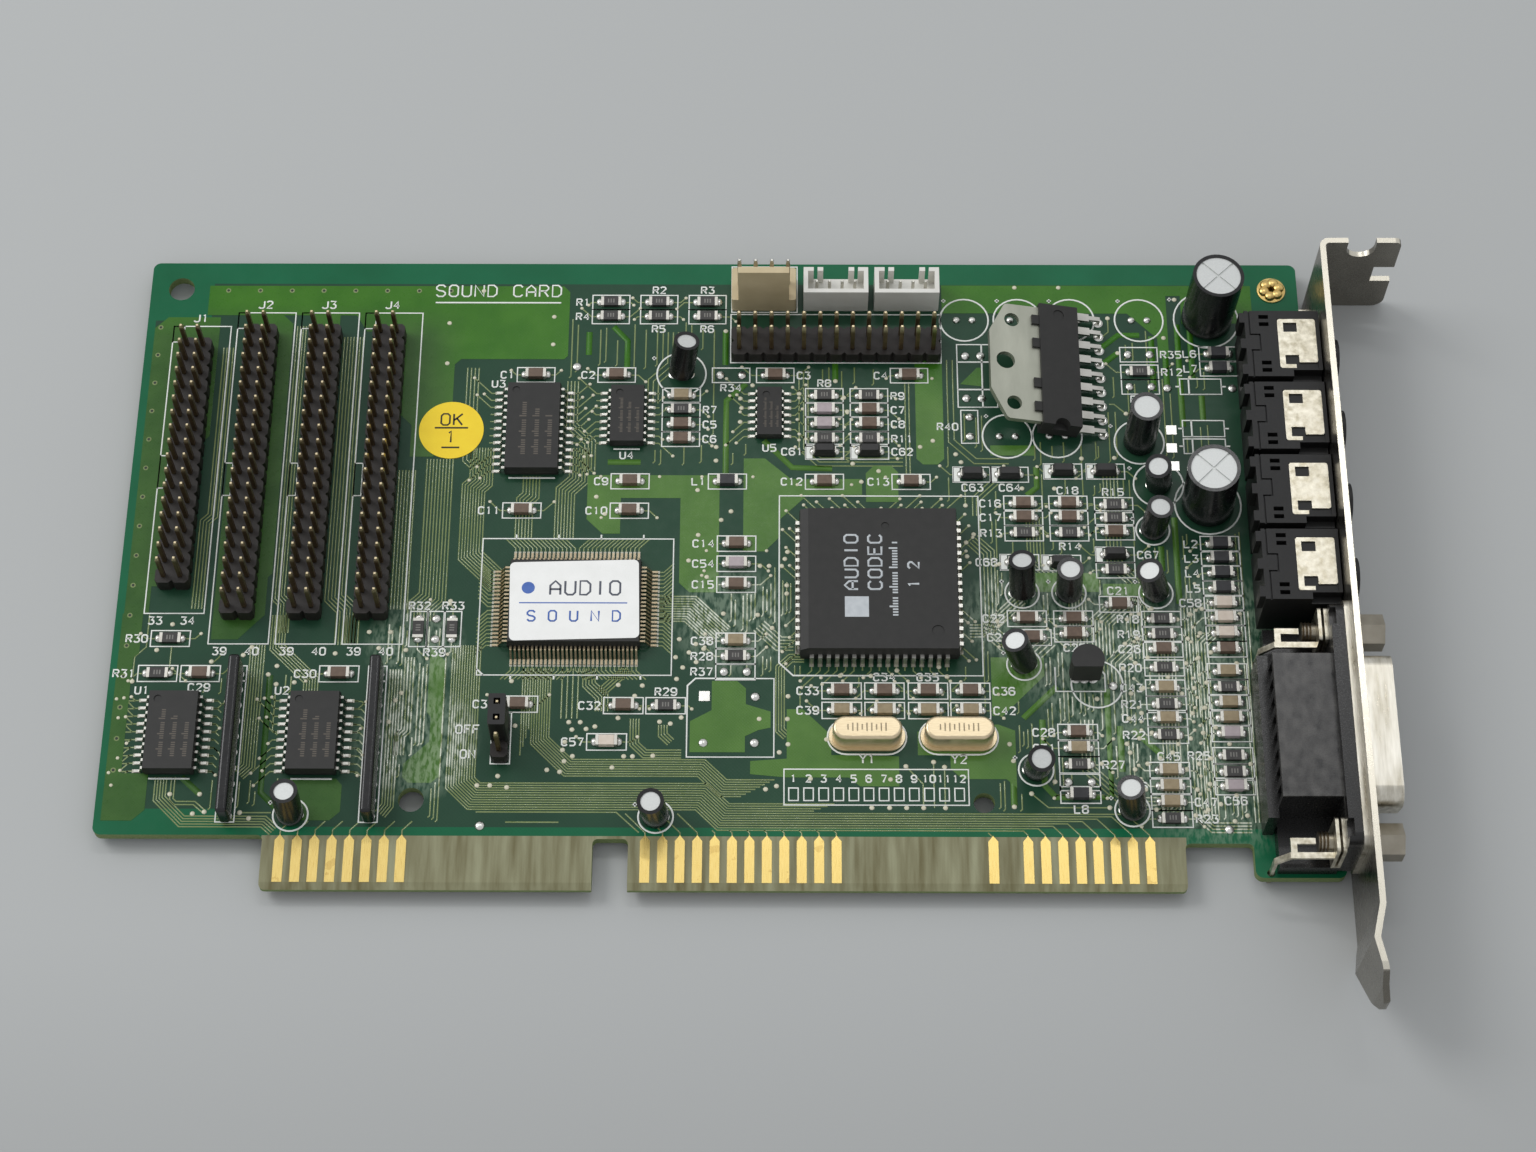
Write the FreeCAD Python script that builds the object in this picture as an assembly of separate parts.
import FreeCAD, Part
import math
import os

V = FreeCAD.Vector
ORIGIN = V(0, 0, 0)
X_AXIS = V(1, 0, 0)
Y_AXIS = V(0, 1, 0)
Z_AXIS = V(0, 0, 1)

# All sizes are in millimetres. X runs along the card towards the bracket, Y from
# the contact tab to the opposite long edge, Z out of the component side (Z = 0).

# Circuit board
board_t = 1.6
board_left = -27.55
board_right = 155.35
board_top = 105.73
board_low = 7.3
board_corner_r = 1.2
contact_pitch = 2.54
contact_place_count = 52
key_place = 19
tab_margin = 2.6
tab_bottom = -1.05
tab_bevel = 1.05
tab_bevel_depth = 0.45
tab_left = -tab_margin
tab_right = (contact_place_count - 1) * contact_pitch + tab_margin
key_x = key_place * contact_pitch
key_w = 5.2
key_top = 6.8
inner_corner_r = 0.8
cut_over = 1.0
notch_right = 142.1
notch_top = 6.3
foot_bottom = 1.0
tooling_holes = [(-22.7, 100.85, 4.1), (18.8, 12.9, 3.8), (103.0, 12.6, 3.15)]

# Gold edge contacts, the same set on both faces
contact_places_fitted = [*range(0, 8), *range(21, 33), 41, *range(43, 51)]
contact_w = 1.45
contact_top = 7.4
contact_point = 0.9
contact_t = 0.06

# Lead tails below the board, which the bracket's long edge just clears
lead_tail = 1.3
tail_clearance = 0.1
tail_z = -board_t - lead_tail
rest_z = tail_z - tail_clearance
hole_clearance = 0.06
fit_clearance = 0.02
obround = 0.499

# Square-pin headers: centre X of the first, spacing, and (middle Y, rows) of each
pin_w = 0.64
pin_point = 0.5
header_pitch = 2.54
header_h = 2.5
header_pin_top = 8.4
header_notch = 0.45
header_first_x = -19.14
header_step = 10.1
header_rows = [(68.80, 17), (67.53, 20), (67.53, 20), (67.53, 20)]
wave_x = 81.71
wave_y = 90.02
wave_columns = 13
wave_pin_top = 9.0
jumper_x = 31.6
jumper_y = 22.5
jumper_pins = 3
shunt_w = 2.55
shunt_l = 4.95
shunt_h = 6.0
shunt_window = 0.95
shunt_r = 0.3

# Cream friction-lock connector
cream_x = 70.3
cream_y0 = 97.0
cream_w = 10.2
cream_r = 0.4
cream_d = 6.0
cream_base_h = 3.3
cream_wall_w = 8.0
cream_wall_t = 1.1
cream_wall_top = 11.3
cream_pin_y = 100.2
cream_pins = 4
cream_pin_top = 10.0

# White shrouded connectors
white_x = 81.7
white_gap = 1.0
white_y0 = 97.0
white_w = 10.2
white_d = 4.7
white_h = 5.6
white_wall = 0.7
white_floor = 2.0
white_window = 4.0
white_slot = 0.6
white_pin_w = 0.5
white_pin_pitch = 2.0
white_pin_y = 99.5
white_pin_top = 5.0
white_pins = 4

# Moulded chip packages
draft = 0.12
standoff = 0.12
dimple_depth = 0.15
lead_t = 0.2
so_pitch = 1.27
so_lead_w = 0.42
so_foot = 0.85
gull_knee = 0.45
buffer_centres = [(-17.05, 23.05), (3.92, 23.05)]
buffer_size = (7.5, 12.8, 2.5)
buffer_span = 10.6
buffer_lead_count = 10
synth_centre = (34.5, 74.77)
synth_size = (8.4, 15.4, 2.5)
synth_span = 11.9
synth_lead_count = 12
converter_centre = (49.08, 77.3)
converter_size = (5.3, 10.2, 1.9)
converter_span = 8.1
converter_lead_count = 8
op_amp_centre = (71.27, 77.9)
op_amp_size = (3.9, 8.65, 1.6)
op_amp_span = 6.2
op_amp_lead_count = 7
so_dimple_d = 1.2
so_dimple_inset = 1.44

# Quad flat pack
controller_x = 41.99
controller_y = 44.18
controller_l = 20.0
controller_w = 14.0
controller_h = 3.0
controller_reach = 2.4
controller_pitch = 0.65
controller_long_count = 30
controller_short_count = 20
controller_lead_w = 0.3
controller_foot = 0.9
label_end_margin = 0.25
label_side_margin = 0.45
label_r = 0.8
label_t = 0.1
label_turn = 1.5

# Square leaded carrier
codec_x = 87.89
codec_y = 47.41
codec_body = 24.0
codec_lead_stand = 0.45
codec_h = 4.4
codec_bottom = 0.6
codec_belt_z = 2.5
codec_pitch = 1.27
codec_side_count = 17
codec_lead_w = 0.6
codec_lead_t = 0.25
codec_curl = 1.5
codec_chamfer = 1.1
codec_dimples = [(8.7, -8.9, 1.9), (1.0, 8.8, 1.2)]

# Amplifier lying on its back, fin side raised
amp_x = 113.6
amp_y = 84.65
amp_top = 5.1
amp_tilt = 13.0
amp_w = 6.3
amp_end_margin = 0.64
amp_t = 3.4
amp_groove = 2.4
amp_dot = 1.8
fin_l = 8.1
fin_half = 10.3
fin_clip_u = 5.5
fin_clip_v = 5.2
fin_t = 0.9
fin_drop = 0.6
fin_r = 0.8
fin_holes = [(4.4, 7.46, 2.4), (4.4, -7.46, 2.4), (5.6, 0.0, 3.0)]
fin_nubs = [-7.8, -3.6, 3.6, 7.8]
nub_l = 1.2
nub_w = 1.6
nub_h = 0.45
amp_lead_count = 9
amp_lead_pitch = 2.54
amp_lead_reach = 3.4
amp_lead_w = 0.7
amp_lead_t = 0.45
amp_lead_drop = 1.75
amp_shoulder_w = 1.3
amp_shoulder_l = 2.4

# Transistor, crystals and resistor networks
transistor_x = 118.5
transistor_flat_y = 31.5
transistor_d = 4.9
transistor_depth = 3.7
transistor_z0 = 2.0
transistor_z1 = 7.0
transistor_pitch = 1.27
transistor_lead_w = 0.45
crystal_centres = [(85.9, 23.1), (99.5, 23.1)]
crystal_flange = (11.3, 4.7, 0.45)
crystal_can = (10.3, 3.8, 3.8)
crystal_edge_r = 0.5
crystal_pitch = 4.88
network_x = [-8.1, 12.9]
network_first_y = 33.1
network_pins = 10
network_pitch = 2.54
network_y0 = 8.9
network_y1 = 34.2
network_t = 1.7
network_z0 = 0.5
network_z1 = 5.2
network_edge_r = 0.5
network_lead_w = 0.5
network_lead_t = 0.28

# Electrolytic capacitors: diameter and length by size, then centre and lean of each top
can_sizes = {"small": (4.0, 7.0), "medium": (5.0, 11.0), "large": (8.0, 11.8)}
capacitors = [
    ("small", 57.4, 85.3, 1.0, 1.6),
    ("small", 131.4, 65.7, -0.9, -0.8),
    ("small", 130.1, 57.8, 0.4, 0.2),
    ("small", 109.7, 47.0, -0.5, 1.8),
    ("small", 116.8, 47.0, -0.4, 0.4),
    ("small", 130.0, 47.0, -1.8, 0.1),
    ("small", 109.6, 35.0, -1.9, 0.5),
    ("small", 110.8, 17.9, 0.2, -1.4),
    ("small", 124.7, 11.5, -1.0, 0.5),
    ("small", 54.8, 10.3, -0.5, -0.6),
    ("small", 1.27, 10.46, 0.0, 0.7),
    ("medium", 128.8, 73.2, 0.0, 0.0),
    ("large", 140.5, 95.4, 0.5, 0.6),
    ("large", 138.8, 62.2, -0.6, -0.2),
]
sleeve_t = 0.15
sleeve_lip = 0.55
can_standoff = 0.3
can_recess = 0.4
can_score_w = 0.35
can_score_depth = 0.2
wire_d = 0.5
wire_pitch = 2.5

# Chip parts: body length with terminals, width and height; longways along X
chip_l = 3.2
chip_w = 1.6
terminal_l = 0.45
resistor_h = 0.6
ceramic_h = 1.0
bead_h = 1.1
resistors = [
    (46.0, 98.5), (53.65, 98.5), (61.35, 98.5), (46.0, 95.85), (53.65, 95.85), (61.35, 95.85),
    (57.45, 78.85), (79.85, 81.4), (86.85, 81.4), (79.85, 73.7), (86.85, 73.7), (129.5, 85.8),
    (110.35, 57.2), (117.3, 57.2), (124.3, 62.1), (124.3, 59.8), (124.1, 50.9), (130.6, 42.6),
    (130.6, 40.05), (130.6, 34.5), (130.6, 28.5), (130.6, 23.5), (130.5, 10.15), (140.0, 31.3),
    (140.0, 20.2), (140.0, 17.6), (117.2, 18.7), (66.3, 36.25), (55.95, 28.1), (-18.9, 39.0),
    (-20.3, 33.2),
]
upright_resistors = [(18.4, 40.7), (23.5, 40.7)]
ceramics = [
    (34.5, 85.1), (47.2, 85.1), (72.15, 85.1), (93.2, 85.1), (57.45, 76.2), (57.45, 73.6),
    (86.85, 78.85), (86.85, 76.3), (49.75, 66.1), (49.75, 60.96), (33.2, 60.96), (79.8, 66.1),
    (93.2, 66.1), (66.3, 55.3), (66.3, 48.3), (110.35, 62.35), (110.35, 59.9), (117.3, 62.35),
    (117.3, 59.9), (124.3, 57.4), (124.3, 45.1), (110.3, 42.65), (110.9, 39.5), (117.3, 42.65),
    (117.3, 40.1), (130.6, 37.6), (140.2, 37.65), (117.2, 23.9), (-13.9, 33.2), (6.9, 33.2),
    (33.9, 28.3), (49.65, 28.1), (82.2, 30.6), (88.6, 30.6), (95.1, 30.6), (101.4, 30.6),
    (57.45, 81.4), (66.3, 38.8), (82.2, 27.4), (88.6, 27.4), (95.1, 27.4), (101.4, 27.4),
    (130.6, 31.2), (130.6, 26.2), (130.5, 17.8), (130.5, 15.3), (130.5, 12.8), (140.0, 33.9),
    (140.0, 28.8), (140.0, 26.3), (117.2, 21.35), (79.85, 78.85), (79.85, 76.3), (66.3, 51.85),
    (140.0, 23.8), (140.0, 15.3), (47.3, 22.2), (140.2, 45.35), (140.2, 42.85), (140.2, 40.3),
]
beads = [
    (64.8, 66.1), (140.2, 55.4), (140.2, 52.9), (140.2, 50.4), (140.2, 47.8), (142.0, 89.15),
    (142.0, 86.46), (117.2, 13.9),
]
tantalums = [
    (79.85, 71.4), (86.85, 71.4), (102.65, 67.4), (108.4, 67.4), (116.7, 68.0), (123.3, 68.0),
    (124.1, 53.5), (109.5, 52.2), (115.9, 52.1),
]
tantalum_l = 3.2
tantalum_w = 1.7
tantalum_h = 1.7
tantalum_bevel = 0.3
tantalum_strip_t = 0.15
tantalum_strip_w = 1.2
tantalum_strip_h = 0.9
sticker_x = 21.65
sticker_y = 75.1
sticker_r = 5.05
sticker_t = 0.1

# Bracket
bracket_x = 156.5
bracket_t = 0.9
bracket_w = 18.4
bracket_top = 101.0
bend_r = 0.6
screw_tab_end = 169.3
screw_tab_low_r = 2.0
screw_tab_high_r = 1.0
screw_slot_x = 163.2
screw_slot_w = 4.4
screw_slot_depth = 4.0
edge_notch_z = 6.4
edge_notch_w = 4.0
edge_notch_depth = 3.2
tongue_start = -8.5
tongue_dip = 1.2
tongue_dip_y = -13.5
tongue_back_y = -19.5
tongue_tip = -21.0
tongue_taper = [(-9.5, 0.0), (-19.0, 6.5)]
tongue_tip_z = (9.0, 12.0)
tongue_far_y = -18.0
tongue_r = 1.5
ear_x = 147.4
ear_y = (95.5, 104.6)
ear_root = 98.4
ear_r = 1.5
rivet_x = 151.2
rivet_y = 100.9
rivet_d = 3.0
rivet_bore = 2.1
rivet_head_d = 4.5
rivet_head_h = 0.4

# Audio jacks
jack_ys = [85.0, 72.3, 59.6, 46.9]
jack_x0 = 144.8
jack_x1 = 156.3
jack_w = 11.7
jack_h = 10.3
jack_axis_z = 5.2
jack_bore_d = 3.6
jack_bore_l = 12.0
jack_collar_d = 6.4
jack_collar_end = 159.5
jack_hole_clearance = 0.15
jack_nub = (0.8, 1.7, 4.0)
jack_nub_pitch = 4.6
jack_plate_x = (149.8, 155.7)
jack_plate_half = 4.4
jack_plate_t = 0.3
jack_plate_r = 0.4
jack_plate_step = (152.3, 1.0)
jack_window = (2.1, 1.65)
jack_window_x = 150.7
jack_window_y = 2.9
jack_slot_x = 147.0
jack_slot = (1.5, 0.7, 1.2)
jack_slot_ys = [-4.75, -3.45, 3.45, 4.75]
jack_seam_w = 0.25
jack_seam_depth = 0.35
jack_seam = [(145.5, 5.85), (145.5, 1.6), (147.0, 1.6), (147.0, -1.2), (145.7, -1.2), (145.7, -5.85)]
jack_side_step = (151.8, 1.1, 1.7)
jack_terminals = [(146.2, 4.2), (146.2, -4.2), (150.6, 4.2), (150.6, -4.2), (153.6, 0.0)]
jack_terminal = (0.4, 0.8)

# 15-way port, sized from its two rows of contacts
port_y = 20.6
port_axis_z = 6.6
port_wide_row_count = 8
port_pin_pitch = 2.77
port_row_pitch = 2.84
port_shell_margin = 2.655
port_row_margin = 2.63
port_screw_margin = 4.31
port_flange_margin = 2.89
port_flange_t = 0.8
port_flange_h = 12.4
port_flange_r = 1.5
port_shell_r = 2.4
port_shell_t = 0.5
port_shell_slope = 10.0
port_shell_end = 162.5
port_face_recess = 0.3
port_cutout_clearance = 0.25
port_socket_d = 1.1
port_socket_l = 5.5
port_plate_t = 2.0
port_plate_inset = 0.55
port_plate_h = 12.6
port_box_x = 145.0
port_box_margin = 1.605
port_box_h = 11.0
port_step_x = 143.4
port_step_margin = 1.6
port_step_h = 6.6
port_base_x = 145.2
port_base_h = 2.6
port_rear_slot = (0.6, 1.5, 3.2)
port_corner_notch = 1.6
port_tail_d = 0.6
port_tail_xs = [146.4, 149.2]
port_stud_d = 2.8
port_stud_end = 150.2
port_stud_clearance = 0.15
port_hex = 4.8
port_hex_end = 162.3
port_hex_bore = 2.3
port_hex_bore_l = 4.5
lock_leaf_t = 0.5
lock_leaf_gap = 0.4
lock_plate_half = 2.7
lock_plate_r = 0.6
lock_plate_z = (3.4, 9.9)
lock_strip_t = 0.5
lock_strip_w = 0.9
lock_strip_z = 6.9
lock_offset = -2.2
lock_yoke_x = 146.2
lock_finger_end = 149.8
lock_foot_x = 144.3
lock_foot_z = 4.6

# Places that follow from the sizes above
white_centres = [white_x, white_x + white_w + white_gap]
label_l = controller_l - 2 * label_end_margin
label_w = controller_w - 2 * label_side_margin
bracket_z0 = rest_z
bracket_z1 = rest_z + bracket_w
bracket_face = bracket_x + bracket_t
amp_lead_x = amp_x + amp_w + amp_lead_reach
amp_l = (amp_lead_count - 1) * amp_lead_pitch + 2 * amp_end_margin
port_row_l = (port_wide_row_count - 1) * port_pin_pitch
port_rows = [port_wide_row_count, port_wide_row_count - 1]
port_shell_w = port_row_l + 2 * port_shell_margin
port_shell_h = port_row_pitch + 2 * port_row_margin
port_screw_pitch = port_shell_w + 2 * port_screw_margin
port_screw_ys = [port_y - port_screw_pitch / 2, port_y + port_screw_pitch / 2]
port_flange_w = port_screw_pitch + 2 * port_flange_margin
port_plate_half = port_flange_w / 2 - port_plate_inset
port_box_half = port_row_l / 2 + port_box_margin
port_step_half = port_box_half + port_step_margin
frame_shift = V(-(board_left + screw_tab_end) / 2, -(board_top + tongue_tip) / 2, -rest_z)

drills = []
nodes = {}


def keep(name, shapes):
    nodes.setdefault(name, []).extend(shapes)


def moved(shape, x, y, z=0, turn=0):
    copy = shape.copy()
    if turn:
        copy.rotate(ORIGIN, Z_AXIS, turn)
    copy.translate(V(x, y, z))
    return copy


def drill_for(x, y, across):
    drills.append((x, y, across + 2 * hole_clearance))


def box(x0, x1, y0, y1, z0, z1):
    return Part.makeBox(x1 - x0, y1 - y0, z1 - z0, V(x0, y0, z0))


def block(x, y, z0, lx, ly, lz):
    return box(x - lx / 2, x + lx / 2, y - ly / 2, y + ly / 2, z0, z0 + lz)


def fused(first, *others):
    return first.multiFuse(list(others)).removeSplitter()


def rounded_wire(points):
    """Closed wire through (x, y, corner radius) points."""
    runs = []
    for i, (x, y, r) in enumerate(points):
        p = V(x, y, 0)
        if r == 0:
            runs.append((p, None, p))
            continue
        last = points[i - 1]
        following = points[(i + 1) % len(points)]
        a = (V(last[0], last[1], 0) - p).normalize()
        b = (V(following[0], following[1], 0) - p).normalize()
        half = a.getAngle(b) / 2
        inward = (a + b).normalize()
        middle = p + inward * (r / math.sin(half) - r)
        runs.append((p + a * (r / math.tan(half)), middle, p + b * (r / math.tan(half))))
    edges = []
    for i, (start, middle, end) in enumerate(runs):
        if middle is not None:
            edges.append(Part.Arc(start, middle, end).toShape())
        following = runs[(i + 1) % len(runs)][0]
        if end.distanceToPoint(following) > 1e-6:
            edges.append(Part.makeLine(end, following))
    return Part.Wire(edges)


def plate(points, z0, h, holes=()):
    """Plate with (x, y, radius) corners and inner hole wires."""
    wires = [rounded_wire(points), *holes]
    face = Part.makeFace(wires, "Part::FaceMakerBullseye")
    return moved(face.extrude(V(0, 0, h)), 0, 0, z0)


def round_hole(x, y, d):
    return Part.Wire([Part.makeCircle(d / 2, V(x, y, 0))])


def rectangle(x, y, lx, ly, r=0):
    corners = [(-1, -1), (1, -1), (1, 1), (-1, 1)]
    return [(x + i * lx / 2, y + j * ly / 2, r) for i, j in corners]


def ribbon(path, t):
    """Outline of a strip of thickness t along a path of (x, y) points."""
    left = []
    right = []
    for i, (x, y) in enumerate(path):
        normals = []
        for a, b in [(i - 1, i), (i, i + 1)]:
            if a < 0 or b == len(path):
                continue
            along = V(path[b][0] - path[a][0], path[b][1] - path[a][1], 0).normalize()
            normals.append(V(-along.y, along.x, 0))
        total = normals[0] + normals[-1]
        offset = total * (t / total.dot(total))
        left.append((x + offset.x, y + offset.y, 0))
        right.append((x - offset.x, y - offset.y, 0))
    return left + right[::-1]


def strip_xz(path, t, w, y=0):
    """Strip bent in the XZ plane, w wide and centred on y."""
    strip = plate(ribbon(path, t), -w / 2, w)
    strip.rotate(ORIGIN, X_AXIS, 90)
    strip.translate(V(0, y, 0))
    return strip


def across_x(shape, x):
    """Turns a plate drawn as (Y, Z) and thickened upwards to face along X at x."""
    shape.rotate(ORIGIN, V(1, 1, 1), 120)
    shape.translate(V(x, 0, 0))
    return shape


def tapered(x, y, z0, z1, size0, size1):
    rings = []
    for z, (lx, ly) in [(z0, size0), (z1, size1)]:
        corners = [V(px, py, z) for px, py, r in rectangle(x, y, lx, ly)]
        rings.append(Part.makePolygon(corners + corners[:1]))
    return Part.makeLoft(rings, True, True)


def moulding(x, y, lx, ly, z0, z1, belt_z, belt_t):
    """Drafted moulding with a straight belt where its leads come out."""
    low = belt_z - belt_t / 2
    high = belt_z + belt_t / 2
    in_low = 2 * draft * (low - z0)
    in_high = 2 * draft * (z1 - high)
    lower = tapered(x, y, z0, low, (lx - in_low, ly - in_low), (lx, ly))
    belt = block(x, y, low, lx, ly, belt_t)
    upper = tapered(x, y, high, z1, (lx, ly), (lx - in_high, ly - in_high))
    return fused(lower, belt, upper)


def dimple(x, y, top, d):
    return Part.makeCylinder(d / 2, dimple_depth, V(x, y, top - dimple_depth))


def square_pin(w, z0, z1):
    tip = (w / 2, w / 2)
    shank = block(0, 0, z0 + pin_point, w, w, z1 - z0 - 2 * pin_point)
    upper = tapered(0, 0, z1 - pin_point, z1, (w, w), tip)
    lower = tapered(0, 0, z0, z0 + pin_point, tip, (w, w))
    return fused(shank, upper, lower)


def pin_holes(places, w):
    side = w + 2 * fit_clearance
    return [rounded_wire(rectangle(x, y, side, side)) for x, y in places]


def header_body(x, y, nx, ny, places):
    """Row of square cells with a V notch between neighbours on every side."""
    lx = nx * header_pitch
    ly = ny * header_pitch
    points = []
    for dx, dy, ux, uy, cells in [
        (-1, -1, 1, 0, nx), (1, -1, 0, 1, ny), (1, 1, -1, 0, nx), (-1, 1, 0, -1, ny),
    ]:
        corner = V(x + dx * lx / 2, y + dy * ly / 2, 0)
        along = V(ux, uy, 0)
        inward = V(-uy, ux, 0)
        for cell in range(cells):
            start = corner + along * (cell * header_pitch)
            if cell > 0:
                notch = start + inward * header_notch
                points.append((notch.x, notch.y, 0))
            for end in [header_notch, header_pitch - header_notch]:
                p = start + along * end
                points.append((p.x, p.y, 0))
    return plate(points, 0, header_h, pin_holes(places, pin_w))


def grid(x, y, nx, ny, pitch):
    xs = [x + (i - (nx - 1) / 2) * pitch for i in range(nx)]
    ys = [y + (j - (ny - 1) / 2) * pitch for j in range(ny)]
    return [(px, py) for px in xs for py in ys]


def gull_lead(reach, belt_z, w, foot):
    knee = (reach - foot) * gull_knee
    path = [(0, belt_z), (knee, belt_z), (reach - foot, lead_t / 2), (reach, lead_t / 2)]
    return strip_xz(path, lead_t, w)


def leads_around(lead, x, y, lx, ly, nx, ny, pitch):
    """Leads along the four sides of a package, nx along the Y-facing sides."""
    out = []
    for count, turn, edge in [(ny, 0, lx / 2), (nx, 90, ly / 2), (ny, 180, lx / 2), (nx, 270, ly / 2)]:
        for i in range(count):
            place = moved(lead, edge, (i - (count - 1) / 2) * pitch)
            out.append(moved(place, x, y, 0, turn))
    return out


def small_outline(node, centre, size, span, per_side):
    x, y = centre
    lx, ly, h = size
    belt_z = standoff + (h - standoff) / 2
    body = moulding(x, y, lx, ly, standoff, h, belt_z, lead_t)
    body = body.cut(dimple(x - lx / 2 + so_dimple_inset, y + ly / 2 - so_dimple_inset, h, so_dimple_d))
    keep(node, [body])
    lead = gull_lead((span - lx) / 2, belt_z, so_lead_w, so_foot)
    keep("small_outline_leads", leads_around(lead, x, y, lx, ly, 0, per_side, so_pitch))


def lean_by(shape, dx, dy, length):
    lean = math.hypot(dx, dy)
    if lean > 0:
        shape.rotate(ORIGIN, V(-dy, dx, 0), math.degrees(math.asin(lean / length)))
    return shape


def revolved(profile):
    """Solid of revolution about Z from (radius, z) points."""
    points = [V(r, 0, z) for r, z in profile]
    return Part.Face(Part.makePolygon(points + points[:1])).revolve(ORIGIN, Z_AXIS, 360)


def electrolytic(size, x, y, dx, dy):
    d, length = can_sizes[size]
    r = d / 2
    inner = r - sleeve_t
    lean = math.hypot(dx, dy) / length
    tilt = math.asin(lean)
    lift = can_standoff + r * math.sin(tilt)
    sleeve = revolved([
        (inner, 0), (r, 0), (r, length), (r - sleeve_lip, length),
        (r - sleeve_lip, length - sleeve_t), (inner, length - sleeve_t),
    ])
    can_bottom = can_recess if tilt == 0 else 0
    can_top = length - sleeve_t
    can = Part.makeCylinder(inner, can_top - can_bottom, V(0, 0, can_bottom))
    if size == "large":
        for turn in [45, 135]:
            score = block(0, 0, can_top - can_score_depth, d, can_score_w, d)
            score.rotate(ORIGIN, Z_AXIS, turn)
            can = can.cut(score.common(Part.makeCylinder(r - sleeve_lip, d, V(0, 0, can_top - d / 2))))
    for node, piece in [("capacitor_sleeves", sleeve), ("capacitor_cans", can)]:
        keep(node, [moved(lean_by(piece, dx, dy, length), x, y, lift)])
    for side in [-1, 1]:
        lead_x = side * wire_pitch / 2
        slope = -lead_x * dx / length / math.cos(tilt)
        top = lift + can_bottom + slope - wire_d / 2 * math.tan(tilt)
        keep("wire_leads", [wire(x + lead_x, y, top)])


def wire(x, y, top):
    drill_for(x, y, wire_d)
    return Part.makeCylinder(wire_d / 2, top - tail_z, V(x, y, tail_z))


def flat_lead(x, y, lx, ly, top):
    drill_for(x, y, math.hypot(lx, ly))
    return block(x, y, tail_z, lx, ly, top - tail_z)


def chip(node, x, y, h, upright=False):
    turn = 90 if upright else 0
    body = block(0, 0, 0, chip_l - 2 * terminal_l, chip_w, h)
    keep(node, [moved(body, x, y, 0, turn)])
    for side in [-1, 1]:
        end = block(side * (chip_l - terminal_l) / 2, 0, 0, terminal_l, chip_w, h)
        keep("chip_terminals", [moved(end, x, y, 0, turn)])


def tantalum(x, y):
    bevel = 2 * tantalum_bevel
    waist = tantalum_h / 2
    lower = block(x, y, 0, tantalum_l, tantalum_w, waist)
    top_size = (tantalum_l - bevel, tantalum_w - bevel)
    upper = tapered(x, y, waist, tantalum_h, (tantalum_l, tantalum_w), top_size)
    keep("tantalum_capacitors", [fused(lower, upper)])
    for side in [-1, 1]:
        end_x = x + side * (tantalum_l + tantalum_strip_t) / 2
        strip = block(end_x, y, 0, tantalum_strip_t, tantalum_strip_w, tantalum_strip_h)
        keep("chip_terminals", [strip])


def d_outline(grow):
    """Port outline as (Y, Z) corners, wide side up."""
    half = port_shell_w / 2 + grow
    rise = port_shell_h / 2 + grow
    narrow = half - 2 * rise * math.tan(math.radians(port_shell_slope))
    r = port_shell_r + grow
    corners = [(-narrow, -rise), (narrow, -rise), (half, rise), (-half, rise)]
    return [(port_y + y, port_axis_z + z, r) for y, z in corners]


# Edge contacts
finger_bottom = tab_bottom + tab_bevel
for place in contact_places_fitted:
    mid = place * contact_pitch
    finger = [
        (mid - contact_w / 2, finger_bottom, 0), (mid + contact_w / 2, finger_bottom, 0),
        (mid + contact_w / 2, contact_top - contact_point, 0), (mid, contact_top, 0),
        (mid - contact_w / 2, contact_top - contact_point, 0),
    ]
    for z0 in [0, -board_t - contact_t]:
        keep("edge_contacts", [plate(finger, z0, contact_t)])

# Headers, jumper and shunt
header_pin = square_pin(pin_w, tail_z, header_pin_top)
for i, (mid_y, rows) in enumerate(header_rows):
    places = grid(header_first_x + i * header_step, mid_y, 2, rows, header_pitch)
    body = header_body(header_first_x + i * header_step, mid_y, 2, rows, places)
    keep("interface_header_body_%d" % (i + 1), [body])
    keep("interface_header_pins_%d" % (i + 1), [moved(header_pin, x, y) for x, y in places])
    for x, y in places:
        drill_for(x, y, pin_w * math.sqrt(2))

wave_pin = square_pin(pin_w, tail_z, wave_pin_top)
jumper_places = grid(jumper_x, jumper_y, 1, jumper_pins, header_pitch)
wave_places = grid(wave_x, wave_y, wave_columns, 2, header_pitch)
keep("wave_header_body", [header_body(wave_x, wave_y, wave_columns, 2, wave_places)])
keep("jumper_header_body", [header_body(jumper_x, jumper_y, 1, jumper_pins, jumper_places)])
for x, y in wave_places:
    keep("post_pins", [moved(wave_pin, x, y)])
    drill_for(x, y, pin_w * math.sqrt(2))
for x, y in jumper_places:
    keep("post_pins", [moved(header_pin, x, y)])
    drill_for(x, y, pin_w * math.sqrt(2))

shunt_y = jumper_y + header_pitch / 2
shunt_places = jumper_places[1:]
shunt_outline = rectangle(jumper_x, shunt_y, shunt_w, shunt_l, shunt_r)
keep("jumper_shunt", [plate(shunt_outline, header_h, shunt_h, pin_holes(shunt_places, shunt_window))])

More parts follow.
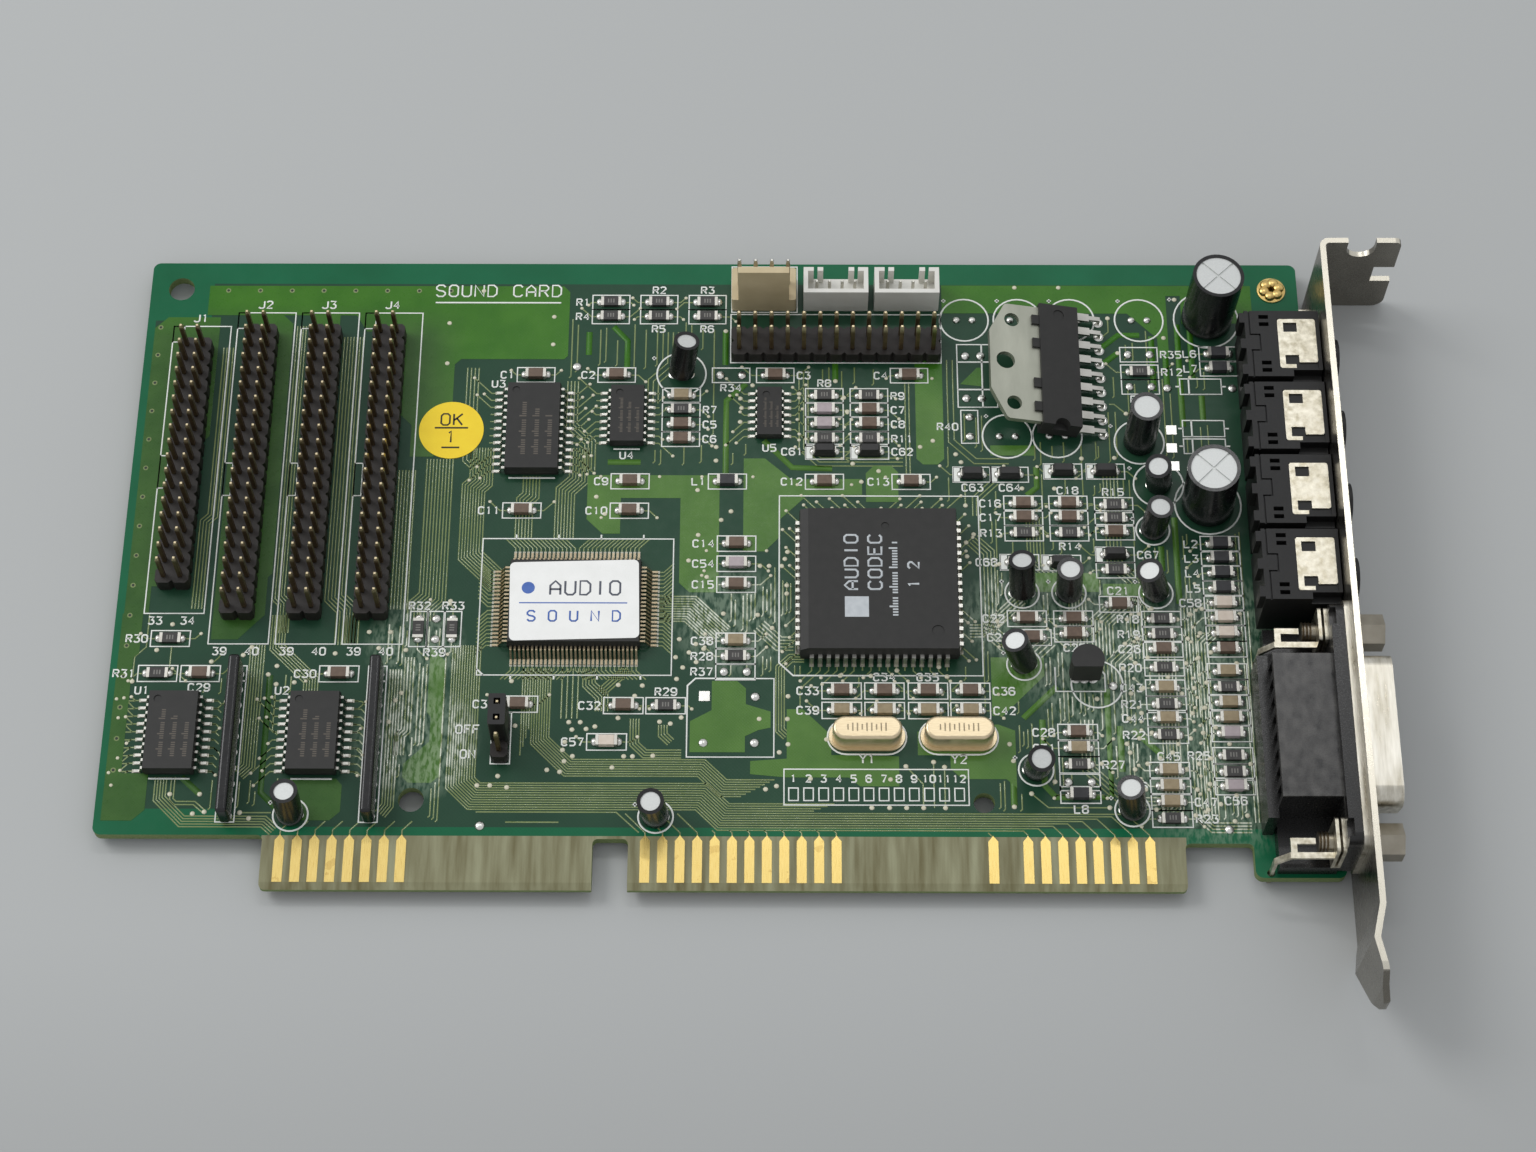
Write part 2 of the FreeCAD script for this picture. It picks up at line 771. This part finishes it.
# Cream connector
cream_places = grid(cream_x, cream_pin_y, cream_pins, 1, header_pitch)
cream_mid_y = cream_y0 + cream_d / 2
cream_outline = rectangle(cream_x, cream_mid_y, cream_w, cream_d, cream_r)
cream_base = plate(cream_outline, 0, cream_base_h, pin_holes(cream_places, pin_w))
cream_wall_mid = cream_y0 + cream_wall_t / 2
cream_wall_h = cream_wall_top - cream_base_h
cream_wall = block(cream_x, cream_wall_mid, cream_base_h, cream_wall_w, cream_wall_t, cream_wall_h)
keep("audio_connector_cream", [fused(cream_base, cream_wall)])
cream_pin = square_pin(pin_w, tail_z, cream_pin_top)
for x, y in cream_places:
    keep("audio_connector_pins", [moved(cream_pin, x, y)])
    drill_for(x, y, pin_w * math.sqrt(2))

# White connectors
white_pin = square_pin(white_pin_w, tail_z, white_pin_top)
for i, x in enumerate(white_centres):
    y = white_y0 + white_d / 2
    places = grid(x, white_pin_y, white_pins, 1, white_pin_pitch)
    floor = plate(rectangle(x, y, white_w, white_d), 0, white_floor, pin_holes(places, white_pin_w))
    cavity = rounded_wire(rectangle(x, y, white_w - 2 * white_wall, white_d - 2 * white_wall))
    shroud = plate(rectangle(x, y, white_w, white_d), white_floor, white_h - white_floor, [cavity])
    back = white_y0 + white_d - white_wall
    window = block(x, back + white_wall / 2, white_floor, white_window, 2 * white_wall, white_h)
    housing = fused(floor, shroud).cut(window)
    for side in [-1, 1]:
        slot_x = x + side * (white_window / 2 + white_w / 2 - white_wall) / 2
        slot = block(slot_x, back + white_wall / 2, white_floor, white_slot, 2 * white_wall, white_h)
        housing = housing.cut(slot)
    keep("audio_connector_white_%d" % (i + 1), [housing])
    for px, py in places:
        keep("audio_connector_pins", [moved(white_pin, px, py)])
        drill_for(px, py, white_pin_w * math.sqrt(2))

# Small-outline chips
for centre in buffer_centres:
    small_outline("buffer_chip_bodies", centre, buffer_size, buffer_span, buffer_lead_count)
small_outline("synth_chip_body", synth_centre, synth_size, synth_span, synth_lead_count)
small_outline("converter_chip_body", converter_centre, converter_size, converter_span, converter_lead_count)
small_outline("op_amp_body", op_amp_centre, op_amp_size, op_amp_span, op_amp_lead_count)

# Quad flat pack and its label
belt_z = standoff + (controller_h - standoff) / 2
keep("controller_body", [
    moulding(controller_x, controller_y, controller_l, controller_w, standoff, controller_h, belt_z, lead_t),
])
lead = gull_lead(controller_reach, belt_z, controller_lead_w, controller_foot)
keep("controller_leads", leads_around(
    lead, controller_x, controller_y, controller_l, controller_w,
    controller_long_count, controller_short_count, controller_pitch,
))
label = plate(rectangle(0, 0, label_l, label_w, label_r), controller_h, label_t)
keep("controller_label", [moved(label, controller_x, controller_y, 0, label_turn)])

# Square leaded carrier
body = moulding(
    codec_x, codec_y, codec_body, codec_body, codec_bottom, codec_h, codec_belt_z, codec_lead_t,
)
chamfer_top = codec_body / 2 - 2 * draft
wedge = plate([
    (-chamfer_top - codec_chamfer, codec_h - codec_chamfer, 0), (-chamfer_top + codec_chamfer, codec_h, 0),
    (-chamfer_top + codec_chamfer, codec_h + codec_chamfer, 0),
    (-chamfer_top - codec_chamfer, codec_h + codec_chamfer, 0),
], -codec_body, 2 * codec_body)
wedge.rotate(ORIGIN, X_AXIS, 90)
body = body.cut(moved(wedge, codec_x, codec_y))
for dx, dy, d in codec_dimples:
    body = body.cut(dimple(codec_x + dx, codec_y + dy, codec_h, d))
keep("codec_body", [body])
lead = strip_xz([
    (0, codec_belt_z), (codec_lead_stand, codec_belt_z), (codec_lead_stand, codec_lead_t / 2),
    (codec_lead_stand - codec_curl, codec_lead_t / 2),
], codec_lead_t, codec_lead_w)
keep("codec_leads", leads_around(
    lead, codec_x, codec_y, codec_body, codec_body, codec_side_count, codec_side_count, codec_pitch,
))

# Amplifier
amp_body = box(0, amp_w, -amp_l / 2, amp_l / 2, -amp_t, 0)
amp_body = amp_body.cut(Part.makeCylinder(amp_dot / 2, dimple_depth, V(
    amp_w / 2, amp_l / 2 - amp_dot, -dimple_depth)))
amp_body = amp_body.cut(Part.makeCylinder(amp_groove / 2, amp_t, V(amp_w / 2, -amp_l / 2, -amp_t / 2)))
for v in fin_nubs:
    amp_body = amp_body.fuse(block(-nub_l / 2, v, -fin_drop, nub_l, nub_w, nub_h))
fin = plate([
    (0, -fin_half, 0), (0, fin_half, 0), (-fin_clip_u, fin_half, fin_r), (-fin_l, fin_clip_v, fin_r),
    (-fin_l, -fin_clip_v, fin_r), (-fin_clip_u, -fin_half, fin_r),
], -fin_drop - fin_t, fin_t, [round_hole(-u, v, d) for u, v, d in fin_holes])
shoulder_z = -amp_lead_drop
shoulders = []
for i in range(amp_lead_count):
    v = (i - (amp_lead_count - 1) / 2) * amp_lead_pitch
    shoulders.append(block(
        amp_w + amp_shoulder_l / 2, v, shoulder_z - amp_lead_t / 2, amp_shoulder_l, amp_shoulder_w, amp_lead_t,
    ))
for shape in [amp_body, fin, *shoulders]:
    shape.rotate(ORIGIN, Y_AXIS, amp_tilt)
    shape.translate(V(amp_x, amp_y, amp_top))
keep("amplifier_body", [amp_body])
keep("amplifier_fin", [fin])
tilt = math.radians(amp_tilt)
start_u = amp_w + amp_shoulder_l / 2
start = (
    amp_x + start_u * math.cos(tilt) + shoulder_z * math.sin(tilt),
    amp_top - start_u * math.sin(tilt) + shoulder_z * math.cos(tilt),
)
elbow_z = start[1] - (amp_lead_x - start[0]) * math.tan(tilt)
for i, shoulder in enumerate(shoulders):
    y = amp_y + (i - (amp_lead_count - 1) / 2) * amp_lead_pitch
    path = [start, (amp_lead_x, elbow_z), (amp_lead_x, tail_z)]
    keep("amplifier_leads", [fused(shoulder, strip_xz(path, amp_lead_t, amp_lead_w, y))])
    drill_for(amp_lead_x, y, math.hypot(amp_lead_t, amp_lead_w))

# Transistor
round_y = transistor_flat_y + transistor_depth - transistor_d / 2
transistor_h = transistor_z1 - transistor_z0
barrel = Part.makeCylinder(transistor_d / 2, transistor_h, V(transistor_x, round_y, transistor_z0))
flat = block(
    transistor_x, transistor_flat_y - transistor_d / 2, transistor_z0, transistor_d, transistor_d, transistor_h,
)
keep("transistor_body", [barrel.cut(flat)])
for i in [-1, 0, 1]:
    x = transistor_x + i * transistor_pitch
    keep("transistor_leads", [flat_lead(x, round_y, transistor_lead_w, transistor_lead_w, transistor_z0)])

# Crystals
for x, y in crystal_centres:
    flange_l, flange_w, flange_h = crystal_flange
    can_l, can_w, can_h = crystal_can
    flange = plate(rectangle(x, y, flange_l, flange_w, flange_w * obround), 0, flange_h)
    can = plate(rectangle(x, y, can_l, can_w, can_w * obround), flange_h, can_h - flange_h)
    rim = [edge for edge in can.Edges if edge.BoundBox.ZMin > can_h - 1e-6]
    can = can.makeFillet(crystal_edge_r, rim)
    keep("crystal_cans", [fused(flange, can)])
    for side in [-1, 1]:
        keep("wire_leads", [wire(x + side * crystal_pitch / 2, y, 0)])

# Resistor networks
for x in network_x:
    mid_y = (network_y0 + network_y1) / 2
    slab = block(x, mid_y, network_z0, network_t, network_y1 - network_y0, network_z1 - network_z0)
    keep("resistor_network_bodies", [slab.makeFillet(network_edge_r, slab.Edges)])
    for i in range(network_pins):
        y = network_first_y - i * network_pitch
        keep("resistor_network_leads", [flat_lead(x, y, network_lead_t, network_lead_w, network_z0)])

# Capacitors, chip parts and sticker
for capacitor in capacitors:
    electrolytic(*capacitor)
for x, y in resistors:
    chip("chip_resistors", x, y, resistor_h)
for x, y in upright_resistors:
    chip("chip_resistors", x, y, resistor_h, upright=True)
for x, y in ceramics:
    chip("chip_capacitors", x, y, ceramic_h)
for x, y in beads:
    chip("ferrite_beads", x, y, bead_h)
for x, y in tantalums:
    tantalum(x, y)
keep("inspection_sticker", [Part.makeCylinder(sticker_r, sticker_t, V(sticker_x, sticker_y, 0))])

# Audio jacks
for number, y in enumerate(jack_ys, 1):
    body = box(jack_x0, jack_x1, y - jack_w / 2, y + jack_w / 2, 0, jack_h)
    nub_l_x, nub_w_y, nub_h_z = jack_nub
    extras = [Part.makeCylinder(
        jack_collar_d / 2, jack_collar_end - jack_x1, V(jack_x1, y, jack_axis_z), X_AXIS)]
    for i in [-1, 0, 1]:
        extras.append(block(
            jack_x0 - nub_l_x / 2, y + i * jack_nub_pitch, jack_h - nub_h_z, nub_l_x, nub_w_y, nub_h_z,
        ))
    body = fused(body, *extras)
    cuts = [Part.makeCylinder(
        jack_bore_d / 2, jack_bore_l, V(jack_collar_end - jack_bore_l, y, jack_axis_z), X_AXIS)]
    slot_l, slot_w, slot_depth = jack_slot
    for offset in jack_slot_ys:
        cuts.append(block(jack_slot_x + slot_l / 2, y + offset, jack_h - slot_depth, slot_l, slot_w, jack_h))
    for (ax, ay), (bx, by) in zip(jack_seam, jack_seam[1:]):
        cuts.append(box(
            min(ax, bx) - jack_seam_w / 2, max(ax, bx) + jack_seam_w / 2,
            y + min(ay, by) - jack_seam_w / 2, y + max(ay, by) + jack_seam_w / 2,
            jack_h - jack_seam_depth, jack_h + cut_over,
        ))
    step_x, step_w, step_h = jack_side_step
    cuts.append(box(
        step_x, jack_x1, y - jack_w / 2, y - jack_w / 2 + step_w, jack_h - step_h, jack_h + cut_over,
    ))
    x0, x1 = jack_plate_x
    pocket = box(x0, x1, y - jack_plate_half, y + jack_plate_half, jack_h - jack_plate_t, jack_h + cut_over)
    keep("jack_body_%d" % number, [body.cut(Part.makeCompound(cuts)).cut(pocket)])
    notch_x, notch_depth = jack_plate_step
    edge = jack_plate_half - fit_clearance
    top_plate = plate([
        (x0 + fit_clearance, y - edge, jack_plate_r), (notch_x, y - edge, 0),
        (notch_x, y - edge + notch_depth, 0),
        (x1 - fit_clearance, y - edge + notch_depth, jack_plate_r),
        (x1 - fit_clearance, y + edge, jack_plate_r), (x0 + fit_clearance, y + edge, jack_plate_r),
    ], jack_h - jack_plate_t, jack_plate_t)
    window_l, window_w = jack_window
    for i in [-1, 1]:
        window_x = jack_window_x + window_l / 2
        top_plate = top_plate.cut(block(window_x, y + i * jack_window_y, 0, window_l, window_w, 2 * jack_h))
    keep("jack_plates", [top_plate])
    for x, offset in jack_terminals:
        keep("jack_terminals", [flat_lead(x, y + offset, *jack_terminal, 0)])

# 15-way port: shell, face insulator and housing
flange_x = bracket_x - port_flange_t
stud_hole = port_stud_d + 2 * port_stud_clearance
screw_holes = [round_hole(y, port_axis_z, stud_hole) for y in port_screw_ys]
inner_d = rounded_wire(d_outline(-port_shell_t))
flange = plate(
    rectangle(port_y, port_axis_z, port_flange_w, port_flange_h, port_flange_r),
    0, port_flange_t, [*screw_holes, inner_d],
)
tube = plate(d_outline(0), port_flange_t, port_shell_end - bracket_x, [inner_d])
keep("game_port_shell", [across_x(fused(flange, tube), flange_x)])

sockets = []
for count, side in zip(port_rows, [1, -1]):
    for px, py in grid(port_y, port_axis_z + side * port_row_pitch / 2, count, 1, port_pin_pitch):
        sockets.append(round_hole(px, py, port_socket_d))
face_l = port_shell_end - port_face_recess - flange_x
back = plate(d_outline(-port_shell_t - fit_clearance), 0, face_l - port_socket_l)
front = plate(d_outline(-port_shell_t - fit_clearance), face_l - port_socket_l, port_socket_l, sockets)
keep("game_port_insulator", [across_x(fused(back, front), flange_x)])

plate_x = flange_x - port_plate_t
front_plate = across_x(plate(
    rectangle(port_y, port_plate_h / 2, 2 * port_plate_half, port_plate_h, port_flange_r),
    0, port_plate_t, screw_holes,
), plate_x)
housing = fused(
    front_plate,
    box(port_box_x, plate_x, port_y - port_box_half, port_y + port_box_half, 0, port_box_h),
    box(port_step_x, port_box_x, port_y - port_step_half, port_y + port_step_half, 0, port_step_h),
    box(port_base_x, plate_x, port_y - port_plate_half, port_y + port_plate_half, 0, port_base_h),
)
slot_l, slot_w, slot_h = port_rear_slot
cuts = []
for px, py in grid(port_y, 0, port_wide_row_count, 1, port_pin_pitch):
    cuts.append(box(
        port_box_x, port_box_x + slot_l, px - slot_w / 2, px + slot_w / 2, port_step_h, port_step_h + slot_h,
    ))
for y in port_screw_ys:
    cuts.append(block(
        plate_x, y, port_plate_h - port_corner_notch, port_corner_notch, lock_plate_half, port_corner_notch * 2,
    ))
keep("game_port_housing", [housing.cut(Part.makeCompound(cuts))])
for x, count in zip(port_tail_xs, port_rows):
    for px, py in grid(port_y, 0, count, 1, port_pin_pitch):
        drill_for(x, px, port_tail_d)
        tail = Part.makeCylinder(port_tail_d / 2, -tail_z, V(x, px, tail_z))
        keep("game_port_contacts", [tail])

# Jack screws and board locks
lock_x = plate_x - 2 * lock_leaf_t - lock_leaf_gap
for y in port_screw_ys:
    hexagon = [
        (y + port_hex / math.sqrt(3) * math.sin(math.radians(60 * i)),
         port_axis_z + port_hex / math.sqrt(3) * math.cos(math.radians(60 * i)), 0)
        for i in range(6)
    ]
    hex_l = port_hex_end - bracket_face
    post = across_x(plate(hexagon, 0, hex_l), bracket_face)
    stud = Part.makeCylinder(
        port_stud_d / 2, bracket_face - port_stud_end, V(port_stud_end, y, port_axis_z), X_AXIS)
    bore = Part.makeCylinder(
        port_hex_bore / 2, port_hex_bore_l, V(port_hex_end - port_hex_bore_l, y, port_axis_z), X_AXIS)
    keep("game_port_jack_screws", [post.fuse(stud).cut(bore)])
    z0, z1 = lock_plate_z
    leaves = []
    for leaf_x in [lock_x, plate_x - lock_leaf_t]:
        leaves.append(across_x(plate([
            (y - lock_plate_half, z0, 0), (y + lock_plate_half, z0, 0),
            (y + lock_plate_half, z1, lock_plate_r), (y - lock_plate_half, z1, lock_plate_r),
        ], 0, lock_leaf_t, [round_hole(y, port_axis_z, stud_hole)]), leaf_x))
    fold = box(lock_x, plate_x, y - lock_plate_half, y + lock_plate_half, z0, z0 + lock_leaf_t)
    arm_y = y + lock_offset
    arm = strip_xz([
        (lock_x + lock_leaf_t / 2, lock_strip_z), (lock_yoke_x, lock_strip_z),
        (lock_foot_x, lock_foot_z), (lock_foot_x, tail_z),
    ], lock_strip_t, lock_strip_w, arm_y)
    low = lock_strip_z - lock_strip_t / 2
    yoke_end = y + lock_strip_w / 2
    yoke = box(lock_yoke_x, lock_yoke_x + lock_strip_w, arm_y, yoke_end, low, low + lock_strip_t)
    finger = box(lock_yoke_x, lock_finger_end, y - lock_strip_w / 2, yoke_end, low, low + lock_strip_t)
    keep("game_port_board_locks", [fused(*leaves, fold, arm, yoke, finger)])
    drill_for(lock_foot_x, arm_y, math.hypot(lock_strip_t, lock_strip_w))

# Bracket: bent strip trimmed to its side outline, then pierced
middle = bracket_x + bracket_t / 2
profile = ribbon([
    (screw_tab_end, bracket_top - bracket_t / 2), (middle, bracket_top - bracket_t / 2),
    (middle, tongue_start), (middle - tongue_dip, tongue_dip_y), (middle, tongue_back_y),
    (middle + tongue_dip / 2, tongue_tip),
], bracket_t)
corner = min(profile, key=lambda p: abs(p[0] - bracket_x) + abs(p[1] - bracket_top))
inside = min(profile, key=lambda p: abs(p[0] - bracket_face) + abs(p[1] - bracket_top + bracket_t))
rounded = {corner: bend_r + bracket_t, inside: bend_r}
sheet = plate([(x, y, rounded.get((x, y, r), r)) for x, y, r in profile], bracket_z0, bracket_w)
(taper_y0, taper_z0), (taper_y1, taper_z1) = tongue_taper
tip_z0, tip_z1 = tongue_tip_z
outline = across_x(plate([
    (bracket_top + cut_over, bracket_z0, 0), (bracket_top + cut_over, bracket_z1, 0),
    (tongue_far_y, bracket_z1, tongue_r), (tongue_tip, bracket_z0 + tip_z1, tongue_r),
    (tongue_tip, bracket_z0 + tip_z0, tongue_r), (taper_y1, bracket_z0 + taper_z1, tongue_r),
    (taper_y0, bracket_z0 + taper_z0, tongue_r),
], 0, screw_tab_end), bracket_x - screw_tab_end / 2)
bracket = sheet.common(outline)
tab_corners = [(bracket_z0, screw_tab_low_r), (bracket_z1, screw_tab_high_r)]
for z, r in tab_corners:
    edges = [
        e for e in bracket.Edges
        if e.BoundBox.XMin > screw_tab_end - 1e-4 and abs(e.BoundBox.ZMin - z) + abs(e.BoundBox.ZMax - z) < 1e-4
    ]
    bracket = bracket.makeFillet(r, edges)
slot_r = screw_slot_w / 2
slot_z = bracket_z1 - screw_slot_depth + slot_r
pierce = [
    Part.makeCylinder(slot_r, 3 * bracket_t, V(screw_slot_x, bracket_top - 2 * bracket_t, slot_z), Y_AXIS),
    block(screw_slot_x, bracket_top - bracket_t / 2, slot_z, screw_slot_w, 3 * bracket_t, screw_slot_depth),
    box(
        screw_tab_end - edge_notch_depth, screw_tab_end + cut_over,
        bracket_top - 2 * bracket_t, bracket_top + cut_over,
        edge_notch_z - edge_notch_w / 2, edge_notch_z + edge_notch_w / 2,
    ),
    across_x(plate(d_outline(port_cutout_clearance), 0, 3 * bracket_t), bracket_x - bracket_t),
]
for y in jack_ys:
    jack_hole_r = jack_collar_d / 2 + jack_hole_clearance
    pierce.append(Part.makeCylinder(
        jack_hole_r, 3 * bracket_t, V(bracket_x - bracket_t, y, jack_axis_z), X_AXIS))
for y in port_screw_ys:
    pierce.append(Part.makeCylinder(
        stud_hole / 2, 3 * bracket_t, V(bracket_x - bracket_t, y, port_axis_z), X_AXIS))
for tool in pierce:
    bracket = bracket.cut(tool)
ear_low, ear_high = ear_y
rivet_hole_d = rivet_d + 2 * hole_clearance
ear = plate([
    (ear_x, ear_low, ear_r), (bracket_x, ear_low, 0), (bracket_x, ear_root, 0),
    (board_right, ear_root, 0), (board_right, ear_high, ear_r), (ear_x, ear_high, ear_r),
], -board_t - bracket_t, bracket_t, [round_hole(rivet_x, rivet_y, rivet_hole_d)])
keep("mounting_bracket", [bracket.fuse(ear)])

# Eyelet through the board and the ear
drill_for(rivet_x, rivet_y, rivet_d)
ear_under = -board_t - bracket_t
eyelet = revolved([
    (rivet_bore / 2, ear_under - rivet_head_h), (rivet_head_d / 2, ear_under - rivet_head_h),
    (rivet_head_d / 2, ear_under), (rivet_d / 2, ear_under), (rivet_d / 2, 0), (rivet_head_d / 2, 0),
    (rivet_head_d / 2, rivet_head_h / 2), (rivet_bore / 2 + rivet_head_h, rivet_head_h),
    (rivet_bore / 2, 0),
])
keep("bracket_rivet", [moved(eyelet, rivet_x, rivet_y)])

# Circuit board, drilled for every lead
key_left = key_x - key_w / 2
key_right = key_x + key_w / 2
holes = [round_hole(x, y, d) for x, y, d in [*tooling_holes, *drills]]
board = plate([
    (board_left, board_top, board_corner_r), (board_left, board_low, board_corner_r),
    (tab_left, board_low, inner_corner_r), (tab_left, tab_bottom, inner_corner_r),
    (key_left, tab_bottom, 0), (key_left, key_top, inner_corner_r), (key_right, key_top, inner_corner_r),
    (key_right, tab_bottom, 0), (tab_right, tab_bottom, inner_corner_r), (tab_right, notch_top, inner_corner_r),
    (notch_right, notch_top, inner_corner_r), (notch_right, foot_bottom, board_corner_r),
    (board_right, foot_bottom, board_corner_r), (board_right, board_top, board_corner_r),
], -board_t, board_t, holes)
for face_z, side in [(0, 1), (-board_t, -1)]:
    outside = face_z + side * cut_over
    inside_z = face_z - side * tab_bevel_depth
    bevel = plate([
        (tab_bottom + tab_bevel, face_z, 0), (tab_bottom + tab_bevel, outside, 0),
        (tab_bottom - cut_over, outside, 0), (tab_bottom - cut_over, inside_z, 0), (tab_bottom, inside_z, 0),
    ], 0, tab_right - tab_left + 2 * cut_over)
    board = board.cut(across_x(bevel, tab_left - cut_over))
keep("circuit_board", [board])

os.makedirs("parts", exist_ok=True)
for name, shapes in nodes.items():
    whole = Part.makeCompound(shapes) if len(shapes) > 1 else shapes[0]
    whole.translate(frame_shift)
    whole.exportStep("parts/%s.step" % name)
